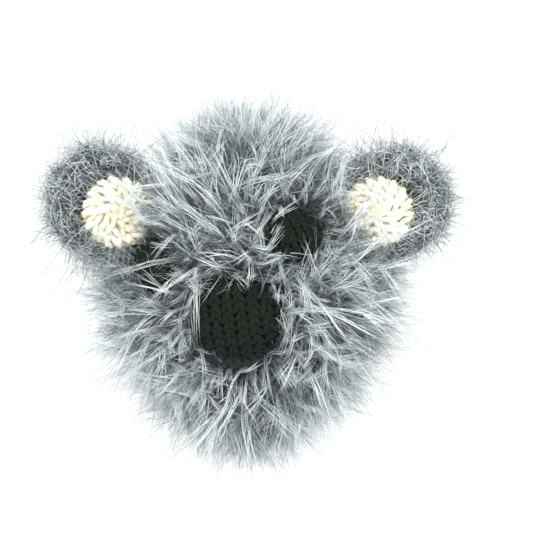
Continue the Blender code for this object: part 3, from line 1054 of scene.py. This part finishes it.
def sew_patch(name, middle, half_width, half_height, height, stitch, seams, rng):
    """Knits a black patch of the face, its padded ground, which is given back, and its seam."""
    shape = (middle, half_width, half_height)
    knitted_patch(f"{name}_stitches", *shape, height, stitch, rng)

    def place(top, share, angle):
        a, b = share * math.cos(angle), share * math.sin(angle)
        x, y = a * half_width, b * half_height
        z = under_patch(x, y) + (height(a, b) - 0.0006 if top else -0.0012)
        return middle @ Vector((x, y, z))

    ground = shut_round(f"{name}_ground", 16, 64, place)
    dress(ground, black_material(), "head")
    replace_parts(whip_stitches(f"{name}_seam", *shape, seams, rng), f"{name}_seam_thread")
    return ground


class MakeNose(bpy.types.Operator):
    """Knit the padded black nose and its ground"""

    bl_idname = "puppet.make_nose"
    bl_label = "Nose"

    def execute(self, context):
        rng = np.random.default_rng(11)
        centre, half = face_place("nose_cover")
        head = head_middle()
        middle = patch_frame(centre.x - head.x + 0.0008, centre.z - head.z + 0.0034)
        stands = 0.0115

        def height(a, b):
            narrow = 1 + 0.42 * min(0, b + 0.15) - 0.10 * max(0, b - 0.5)
            share = (a / max(narrow, 0.3)) ** 2 + b**2
            return stands * max(0.0, 1 - share) ** 0.42

        middle = middle @ Matrix.Rotation(sizes().face_roll * 0.6, 4, "Z")
        sides = half.x * 1.01, half.z * 0.96
        ground = sew_patch("nose", middle, *sides, height, sizes().stitch * 1.12, 34, rng)
        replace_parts(ground, "nose_cover", "nose_stuffing")
        return {"FINISHED"}


class MakeEyes(bpy.types.Operator):
    """Knit the two black eyes"""

    bl_idname = "puppet.make_eyes"
    bl_label = "Eyes"

    def execute(self, context):
        def height(a, b):
            return 0.0045 * max(0.0, 1 - a * a - b * b) ** 0.4

        for seed, name in enumerate(("left_eye", "right_eye")):
            rng = np.random.default_rng(21 + seed)
            away = face_place(name)[0] - head_middle()
            middle = patch_frame(away.x, away.z - 0.0016)
            middle = middle @ Matrix.Rotation(sizes().face_roll * 1.6, 4, "Z")
            stitch = sizes().stitch * 0.92
            ground = sew_patch(name, middle, 0.0142, 0.0128, height, stitch, 24, rng)
            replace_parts(ground, name)
        return {"FINISHED"}


def ear_frame(side):
    """The matrix of an ear at its seam: out of the head, along the seam and forward."""
    joint = JOINTS[f"{side}_ear_flop"]
    forward = Vector((0, -1, 0))
    along = -Vector(joint["axis"]).normalized()
    out = along.cross(forward).normalized()
    turn = Matrix((out, along, forward)).transposed().to_4x4()
    return Matrix.Translation(Vector(joint["pos_m"])) @ turn


class MakeEars(bpy.types.Operator):
    """Crochet both ears: a cupped dish with a thick rim, loose curls and an off-white disc"""

    bl_idname = "puppet.make_ears"
    bl_label = "Ears"

    reach = 0.020
    radius = 0.0250
    disc_reach = 0.0100
    disc_radius = 0.0175

    def execute(self, context):
        for seed, side in enumerate(("left", "right")):
            rng = np.random.default_rng(31 + seed)
            matrix = np.array(ear_frame(side))
            self.dish(side, matrix)
            self.rim(side, matrix, rng)
            self.disc(side, matrix, rng)
            self.lashes(side, matrix, rng)
        return {"FINISHED"}

    def squeeze(self, e, f):
        """Narrows the ear towards its seam, where it is sewn on."""
        e = np.where(e < 0.002, 0.002 - (0.002 - e) * 0.25, e)
        share = np.clip((e + 0.002) / 0.016, 0, 1)
        return e, f * (0.5 + 0.5 * share * share * (3 - 2 * share))

    def dish(self, side, matrix):
        """The cupped body of the ear, crocheted in rounds; the outline is (radius share, forward)."""
        profile = [
            (0.0, 0.0022),
            (0.35, 0.0024),
            (0.60, 0.0034),
            (0.74, 0.0064),
            (0.88, 0.0068),
            (0.98, 0.0036),
            (1.0, 0.0),
            (0.97, -0.0040),
            (0.86, -0.0070),
            (0.55, -0.0072),
            (0.25, -0.0066),
            (0.0, -0.0064),
        ]
        knots = np.array(profile)
        gaps = np.linalg.norm(np.diff(knots, axis=0) * (0.026, 1), axis=1)
        distance = np.concatenate(([0], np.cumsum(gaps)))
        steps, sides = 64, 180
        wanted = np.linspace(0, distance[-1], steps)
        r = np.interp(wanted, distance, knots[:, 0]) * self.radius
        f = np.interp(wanted, distance, knots[:, 1])
        for _ in range(3):
            r[1:-1] = (r[:-2] + 2 * r[1:-1] + r[2:]) / 4
            f[1:-1] = (f[:-2] + 2 * f[1:-1] + f[2:]) / 4
        angle = 2 * math.pi * np.arange(sides) / sides
        rr, aa = np.meshgrid(r, angle, indexing="ij")
        ff = np.repeat(f[:, None], sides, 1)
        rounds = np.repeat((wanted / 0.0046)[:, None], sides, 1)
        bumps = np.abs(np.sin(math.pi * rounds)) ** 0.7
        bumps = bumps * (0.65 + 0.35 * np.cos(aa * 30 + np.floor(rounds) * math.pi))
        swell = 0.0011 * bumps
        tangent_r, tangent_f = np.gradient(r), np.gradient(f)
        size = np.maximum(np.hypot(tangent_r, tangent_f), 1e-9)
        normal_r = (-tangent_f / size)[:, None]
        normal_f = (tangent_r / size)[:, None]
        rr = np.maximum(rr - swell * normal_r, 0)
        ff = ff + swell * normal_f
        e, f2 = self.squeeze(self.reach + rr * np.cos(aa), ff)
        t = rr * np.sin(aa)
        points = in_place(np.stack((e, t, f2), -1).reshape(-1, 3), matrix)
        k = np.arange(sides)
        after = (k + 1) % sides
        low = (np.arange(1, steps - 2) * sides)[:, None]
        high = low + sides
        quads = np.stack((low + k, high + k, high + after, low + after), -1).reshape(-1, 4)
        first, last = sides, (steps - 2) * sides
        hub_a, hub_b = 0, (steps - 1) * sides
        triangles = np.concatenate(
            (
                np.stack((np.full(sides, hub_a), first + k, first + after), -1),
                np.stack((last + k, np.full(sides, hub_b), last + after), -1),
            )
        )
        obj = array_mesh(f"{side}_ear_dish", points, quads, triangles)
        turn_outward(obj, loose=True)
        yarn = yarn_material("ear_yarn", shade(colours().ground, 1.3))
        dress(obj, yarn, f"{side}_ear")
        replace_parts(obj, f"{side}_ear_back", f"{side}_ear_front", f"{side}_ear_wadding")

    def rim_place(self, angle, around, lift=0.0):
        """A point on the rolled rim: angle goes round the ear, around goes round the roll."""
        roll = 0.0062 + lift
        r = self.radius - 0.0056 + roll * np.cos(around)
        e = self.reach + r * np.cos(angle)
        f = roll * np.sin(around)
        e, f = self.squeeze(e, f)
        return np.stack((e, r * np.sin(angle), f), -1)

    def rim(self, side, matrix, rng):
        """Wiry fibres of the yarn, tangled all round the rim."""
        self.wrap("tangle", side, matrix, rng, 3000, (0.02, 0.12, 0.30, 0.55, 0.8), 0.0011)
        self.wrap("tassels", side, matrix, rng, 900, (0.75, 0.88, 0.97), 0.0026)

    def wrap(self, name, side, matrix, rng, count, tones, stand):
        steps = np.linspace(0, 1, 11)[None]
        start = rng.uniform(0, 2 * math.pi, (count, 1))
        over = rng.uniform(-2.7, 2.6, (count, 1))
        turn = rng.normal(0, 0.42, (count, 1))
        roll = rng.normal(0, 0.95, (count, 1))
        angle = start + turn * steps + rng.normal(0, 0.10, (count, 1)) * np.sin(steps * 6)
        around = over + roll * steps + rng.normal(0, 0.25, (count, 1)) * np.sin(steps * 5)
        high = stand * rng.uniform(0.2, 1.5, (count, 1)) * np.sin(math.pi * steps) + 0.0002
        free = (rng.random((count, 1)) < 0.45) * rng.uniform(0, 0.010, (count, 1)) * steps**2
        paths = self.rim_place(angle, around, high + free)
        paths = paths[paths[:, :, 0].min(1) > -0.004]
        paths = within_room(in_place(paths, matrix), rng)
        n = len(paths)
        shades = np.clip(rng.choice(tones, n) + rng.normal(0, 0.05, n), 0.01, 0.99)
        radius = lash_settings().radius * rng.uniform(0.75, 1.25, n)
        obj = strand_mesh(f"{side}_ear_{name}", paths, radius, shades, rng, 0.4)
        dress(obj, lash_material(), f"{side}_ear")

    def disc(self, side, matrix, rng):
        """Rounds of soft cotton chain stitches, worked out from the middle, with a little fluff."""
        tubes = []
        gauge = 0.0046
        for row, r in enumerate((0.0014, 0.0052, 0.0093, 0.0134)):
            count = max(4, round(2 * math.pi * r / 0.0052))
            pitch = 2 * math.pi / count
            for i in range(count):
                turn = (i + 0.5 * (row % 2) + rng.uniform(-0.18, 0.18)) * pitch
                lean = rng.uniform(0.35, 0.75)
                for sign in (-1, 1):
                    s = np.linspace(0, 1, 9)
                    a = turn + pitch * sign * (0.06 + 0.46 * s**0.8) + pitch * lean * s
                    radial = r + gauge * (1.25 * s - 0.35) + rng.uniform(-0.0003, 0.0003)
                    top = 0.0068 + 0.0015 * np.sin(math.pi * s) + rng.uniform(-0.0004, 0.0008)
                    e = self.disc_reach + np.maximum(radial, 0.0003) * np.cos(a)
                    t = np.maximum(radial, 0.0003) * np.sin(a)
                    path = in_place(np.stack((e, t, top), -1), matrix)
                    size = 0.00150 * (0.60 + 0.40 * np.sin(math.pi * (s * 0.85 + 0.10)))
                    size = size * rng.uniform(0.9, 1.15)
                    tubes.append(tube_points(path, size, 8, out=(0, -1, 0)))
        stitches = tube_mesh(f"{side}_ear_disc_stitches", tubes)

        def place(top, share, angle):
            r = self.disc_radius * 0.98 * share
            e, t = self.disc_reach + r * math.cos(angle), r * math.sin(angle)
            return in_place(np.array((e, t, 0.0070 if top else 0.0030)), matrix)

        ground = shut_round(f"{side}_ear_disc_ground", 10, 72, place)
        for obj in (stitches, ground):
            dress(obj, cream_material(), f"{side}_ear")
        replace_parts(ground, f"{side}_ear_inner")
        self.fluff(side, matrix, rng)

    def fluff(self, side, matrix, rng):
        """Short soft fibres that stand off the cotton."""
        n = 1500
        r = self.disc_radius * np.sqrt(rng.random(n)) * 0.98
        a = rng.uniform(0, 2 * math.pi, n)
        start = np.stack((self.disc_reach + r * np.cos(a), r * np.sin(a), np.full(n, 0.0074)), -1)
        way = unit(rng.normal(0, 1, (n, 3)) * (1, 1, 0.3) + (0, 0, 0.45))
        steps = np.linspace(0, 1, 6)[None, :, None]
        bend = rng.normal(0, 0.6, (n, 1, 3)) * (1, 1, 0.4)
        reach = rng.uniform(0.002, 0.006, (n, 1, 1))
        paths = start[:, None] + reach * (way[:, None] * steps + bend * steps**2)
        radius, tones = np.full(n, 0.00009), np.full(n, 0.5)
        obj = strand_mesh(f"{side}_ear_disc_fluff", in_place(paths, matrix), radius, tones, rng)
        dress(obj, cream_material(), f"{side}_ear")

    def lashes(self, side, matrix, rng):
        """Fine wavy wisps that stand out from the rim and the back of the ear."""
        count = 1500
        angle = rng.uniform(0, 2 * math.pi, count)
        around = rng.uniform(-2.6, 1.9, count)
        start = self.rim_place(angle, around)
        tip = self.rim_place(angle, around, 0.004)
        out = unit(tip - start)
        radial = np.stack((np.cos(angle), np.sin(angle), np.zeros(count)), -1)
        way = unit(out * 0.6 + radial * 0.75 + rng.normal(0, 0.42, (count, 3)))
        back = count // 4
        r = self.radius * np.sqrt(rng.random(back)) * 0.85
        e, f = self.squeeze(self.reach + r * np.cos(angle[:back]), np.full(back, -0.0070))
        start[:back] = np.stack((e, r * np.sin(angle[:back]), f), -1)
        way[:back] = unit(
            np.array((0, 0, -0.8)) + radial[:back] * 0.7 + rng.normal(0, 0.35, (back, 3))
        )
        keep = start[:, 0] > 0.001
        start, way, radial = start[keep], way[keep], radial[keep]
        n = len(start)
        reach = 0.0300 * rng.uniform(0.30, 1.1, n)
        steps = np.linspace(0, 1, 8)[None, :, None]
        bend = rng.normal(0, 0.50, (n, 1, 3))
        wave = rng.normal(0, 0.075, (n, 1, 3)) * np.sin(steps * rng.uniform(5, 11, (n, 1, 1)))
        shape = way[:, None] * steps + bend * steps**2 * 0.6 + wave
        paths = start[:, None] + reach[:, None, None] * shape
        paths = within_room(in_place(paths, matrix), rng)
        tones = np.clip(rng.choice([0.2, 0.6, 0.85, 0.95], n) + rng.normal(0, 0.1, n), 0.02, 0.98)
        radius = lash_settings().radius * rng.uniform(0.5, 0.95, n)
        obj = strand_mesh(f"{side}_ear_lashes", paths, radius, tones, rng)
        dress(obj, lash_material(), f"{side}_ear")


class MakeCuff(bpy.types.Operator):
    """Knit the ribbed cuff, with columns of stitches that stand up and sink in turn"""

    bl_idname = "puppet.make_cuff"
    bl_label = "Cuff"

    def execute(self, context):
        ribs, rows = 30, 13
        sides, places = ribs * 16, rows * 7
        wall = 0.0042
        width, height = CUFF_HIGH.x, CUFF_HIGH.z
        angle = 2 * math.pi * np.arange(sides) / sides
        cosine, sine = np.cos(angle), np.sin(angle)
        x = np.sign(cosine) * np.abs(cosine) ** OVAL * width
        z = np.sign(sine) * np.abs(sine) ** OVAL * height
        outline = np.stack((x, z), -1)
        normal = unit(np.stack((cosine / width, sine / height), -1))
        y = np.linspace(CUFF_LOW.y - 0.004, CUFF_HIGH.y, places)
        phase = np.arange(sides) / sides * ribs
        inside = phase - np.floor(phase)
        rib = 0.5 + 0.5 * np.cos(2 * math.pi * inside)
        leg = np.abs(((inside + 0.5) % 1) - 0.5) * 4
        length = y[:, None] / (CUFF_HIGH.y - CUFF_LOW.y) * rows
        vee = 0.5 + 0.5 * np.cos(2 * math.pi * (length - leg[None] * 0.55))
        relief = rib[None] * 0.0016 + vee * 0.0007 * (0.3 + 0.7 * rib[None])
        edge = np.clip((CUFF_HIGH.y - y) / 0.004, 0, 1)[:, None]
        depth = 0.0024 - relief + (1 - np.sqrt(1 - (1 - edge) ** 2)) * 0.0022
        outer = outline[None] - normal[None] * depth[:, :, None]
        inner = outline[None] - normal[None] * (wall + 0.0006 - relief * 0.4)[:, :, None]
        rings = [
            np.stack((skin[k, :, 0], np.full(sides, y[k]), skin[k, :, 1]), -1)
            for skin, order in ((outer, range(places)), (inner, reversed(range(places))))
            for k in order
        ]
        levels = np.arange(len(rings)) * sides
        quads = band(levels, np.roll(levels, -1), sides)
        obj = array_mesh("cuff_ribbing", np.concatenate(rings), quads, np.zeros((0, 3), int))
        turn_outward(obj)
        dress(obj, yarn_material("rib_yarn", colours().rib, 1200, 0.35), "sleeve")
        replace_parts(obj, "cuff_rib")
        return {"FINISHED"}


class MakeMouth(bpy.types.Operator):
    """Line the mouth with one folded felt and finish what is inside the head"""

    bl_idname = "puppet.make_mouth"
    bl_label = "Mouth"

    def execute(self, context):
        self.lining()
        card = yarn_material("card_board", (0.45, 0.36, 0.25), 500, 0.25, 0.8, 0.0)
        for node in ("upper_mouth_board", "lower_mouth_board"):
            for place in frame["nodes"][node].material_slots:
                place.material = card
        cotton = cotton_material()
        for node, body in (("finger_pocket", "head"), ("thumb_pocket", "jaw")):
            self.soften(node, body, 0.0008, 3, 0.0, cotton, "lining")
        fibre = yarn_material("white_wadding", (0.8, 0.8, 0.78), 700, 0.2, 1.0)
        filling = self.soften("head_stuffing", "head", 0.0022, 8, 0.0016, fibre, "wadding")
        return {"FINISHED"}

    def soften(self, node, body, voxel, rounds, lumps, material, slot_name):
        """A soft copy of a frame piece, with rounded edges and lumps that lie within it."""
        source = frame["nodes"][node]
        mesh = source.data.copy()
        mesh.transform(source.matrix_world)
        obj = link(f"soft_{node}", mesh)
        settle(
            obj,
            ("REMESH", {"mode": "VOXEL", "voxel_size": voxel}),
            ("SMOOTH", {"factor": 0.5, "iterations": rounds}),
        )
        points, normals = read_points_and_normals(obj.data)
        wave = np.zeros(len(points))
        for k, way in enumerate(((170, 90, 60), (-70, 150, 110), (60, -120, 190))):
            wave += np.sin(points @ np.array(way) + k * 1.7)
        write_points(obj.data, points - normals * (lumps * (0.5 + wave / 6))[:, None])
        dress(obj, material, body)
        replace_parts(obj, node)
        return obj

    def lining(self):
        """One sheet: the roof of the mouth, round the fold at the hinge, and the floor."""
        low, high = box_of("upper_mouth_felt")
        sides, rows = 60, 40
        gap = 0.0005
        turn = 0.0022
        back = HINGE.y - 0.002
        front = low.y + 0.002
        half = high.x - 0.001
        stations = [(front + (back - front) * i / rows, gap) for i in range(rows + 1)]
        for i in range(1, 12):
            angle = math.pi * i / 12
            stations.append((back + turn * math.sin(angle), gap * math.cos(angle)))
        stations += [(back + (front - back) * i / rows, -gap) for i in range(rows + 1)]
        points, widths = [], []
        for y, z in stations:
            share = np.clip((back - y) / (back - front), 0, 1)
            width = half * (0.86 + 0.14 * math.sin(math.pi * min(1, share * 1.2 + 0.1)))
            width *= math.sqrt(max(0.02, 1 - share**3.2))
            widths.append(2 * width)
            for k in range(sides + 1):
                x = width * (2 * k / sides - 1)
                points.append((x, y, HINGE.z + z))
        count = sides + 1
        starts = [i * count + k for i in range(len(stations) - 1) for k in range(sides)]
        faces = [(j, j + 1, j + count + 1, j + count) for j in starts]
        obj = new_mesh("mouth_lining", points, faces)
        settle(obj, ("SOLIDIFY", {"thickness": 0.0009, "offset": 1.0}))
        dress(obj, felt_material())
        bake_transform(obj)
        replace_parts(obj, "upper_mouth_felt", "lower_mouth_felt", "mouth_hinge_fold")
        cut = sum(
            (widths[i] + widths[i + 1]) / 2 * math.dist(stations[i], stations[i + 1])
            for i in range(len(stations) - 1)
        )


class MakeStage(bpy.types.Operator):
    """Set up the pale floor, the soft lights and the camera"""

    bl_idname = "puppet.make_stage"
    bl_label = "Stage"

    def execute(self, context):
        s = context.scene.puppet_stage
        scene = context.scene
        middle = head_middle()
        world = bpy.data.worlds.new("soft_white")
        world.use_nodes = True
        background = world.node_tree.nodes["Background"]
        background.inputs["Color"].default_value = (1, 1, 1, 1)
        background.inputs["Strength"].default_value = 1.22 * s.light
        scene.world = world
        corners = [(-6, -6, 0), (6, -6, 0), (6, 6, 0), (-6, 6, 0)]
        floor = new_mesh("floor", corners, [(0, 1, 2, 3)])
        floor.location = (0, 0, JAW_LOW.z - s.floor_drop)
        pale = Nodes("pale_floor", 0.9, specular=0.1)
        pale.shader.inputs["Base Color"].default_value = (0.94, 0.94, 0.94, 1)
        floor.data.materials.append(pale.material)
        self.light("key", (-0.5, -1.3, 1.5), 0.9, 32 * s.light)
        self.light("fill", (1.2, -1.2, 0.5), 1.2, 8 * s.light)
        self.light("back", (0.2, 1.2, 1.5), 1.2, 10 * s.light)
        scene.view_settings.view_transform = "Standard"
        camera = bpy.data.cameras.new("camera")
        camera.sensor_width = 36
        camera.lens = 36 * s.distance / s.view_width
        eye = link("camera", camera)
        aim = Vector((middle.x + 0.0092, middle.y - 0.02, middle.z + 0.0068))
        way = Vector((0, -math.cos(s.elevation), math.sin(s.elevation)))
        eye.location = aim + way * s.distance
        eye.rotation_euler = (-way).to_track_quat("-Z", "Y").to_euler()
        scene.camera = eye
        return {"FINISHED"}

    def light(self, name, offset, size, power):
        lamp = bpy.data.lights.new(name, "AREA")
        lamp.shape = "DISK"
        lamp.size = size
        lamp.energy = power
        obj = link(name, lamp)
        obj.location = head_middle() + Vector(offset)
        obj.rotation_euler = (-Vector(offset)).to_track_quat("-Z", "Y").to_euler()


class PuppetPanel(bpy.types.Panel):
    bl_idname = "VIEW3D_PT_puppet"
    bl_label = "Koala Sock Puppet"
    bl_space_type = "VIEW_3D"
    bl_region_type = "UI"
    bl_category = "Puppet"

    def draw(self, context):
        layout = self.layout
        for group in GROUPS:
            settings = getattr(context.scene, group)
            box = layout.box()
            for name in settings.bl_rna.properties.keys():
                if name not in {"rna_type", "name"}:
                    box.prop(settings, name)
        for operator in OPERATORS:
            layout.operator(operator.bl_idname)


GROUPS = {
    "puppet_sizes": PuppetSizes,
    "puppet_lashes": LashSettings,
    "puppet_colours": PuppetColours,
    "puppet_stage": StageSettings,
}
OPERATORS = (
    MakeKnitting,
    MakeLashes,
    MakeNose,
    MakeEyes,
    MakeEars,
    MakeCuff,
    MakeMouth,
    MakeStage,
)


def register():
    for group in GROUPS.values():
        bpy.utils.register_class(group)
    for name, group in GROUPS.items():
        setattr(bpy.types.Scene, name, PointerProperty(type=group))
    for operator in OPERATORS:
        bpy.utils.register_class(operator)
    bpy.utils.register_class(PuppetPanel)


def unregister():
    bpy.utils.unregister_class(PuppetPanel)
    for operator in reversed(OPERATORS):
        bpy.utils.unregister_class(operator)
    for name, group in reversed(GROUPS.items()):
        delattr(bpy.types.Scene, name)
        bpy.utils.unregister_class(group)


def main():
    register()
    bpy.ops.puppet.make_knitting()
    bpy.ops.puppet.make_lashes()
    bpy.ops.puppet.make_nose()
    bpy.ops.puppet.make_eyes()
    bpy.ops.puppet.make_ears()
    bpy.ops.puppet.make_cuff()
    bpy.ops.puppet.make_mouth()
    bpy.ops.puppet.make_stage()


if __name__ == "__main__":
    main()
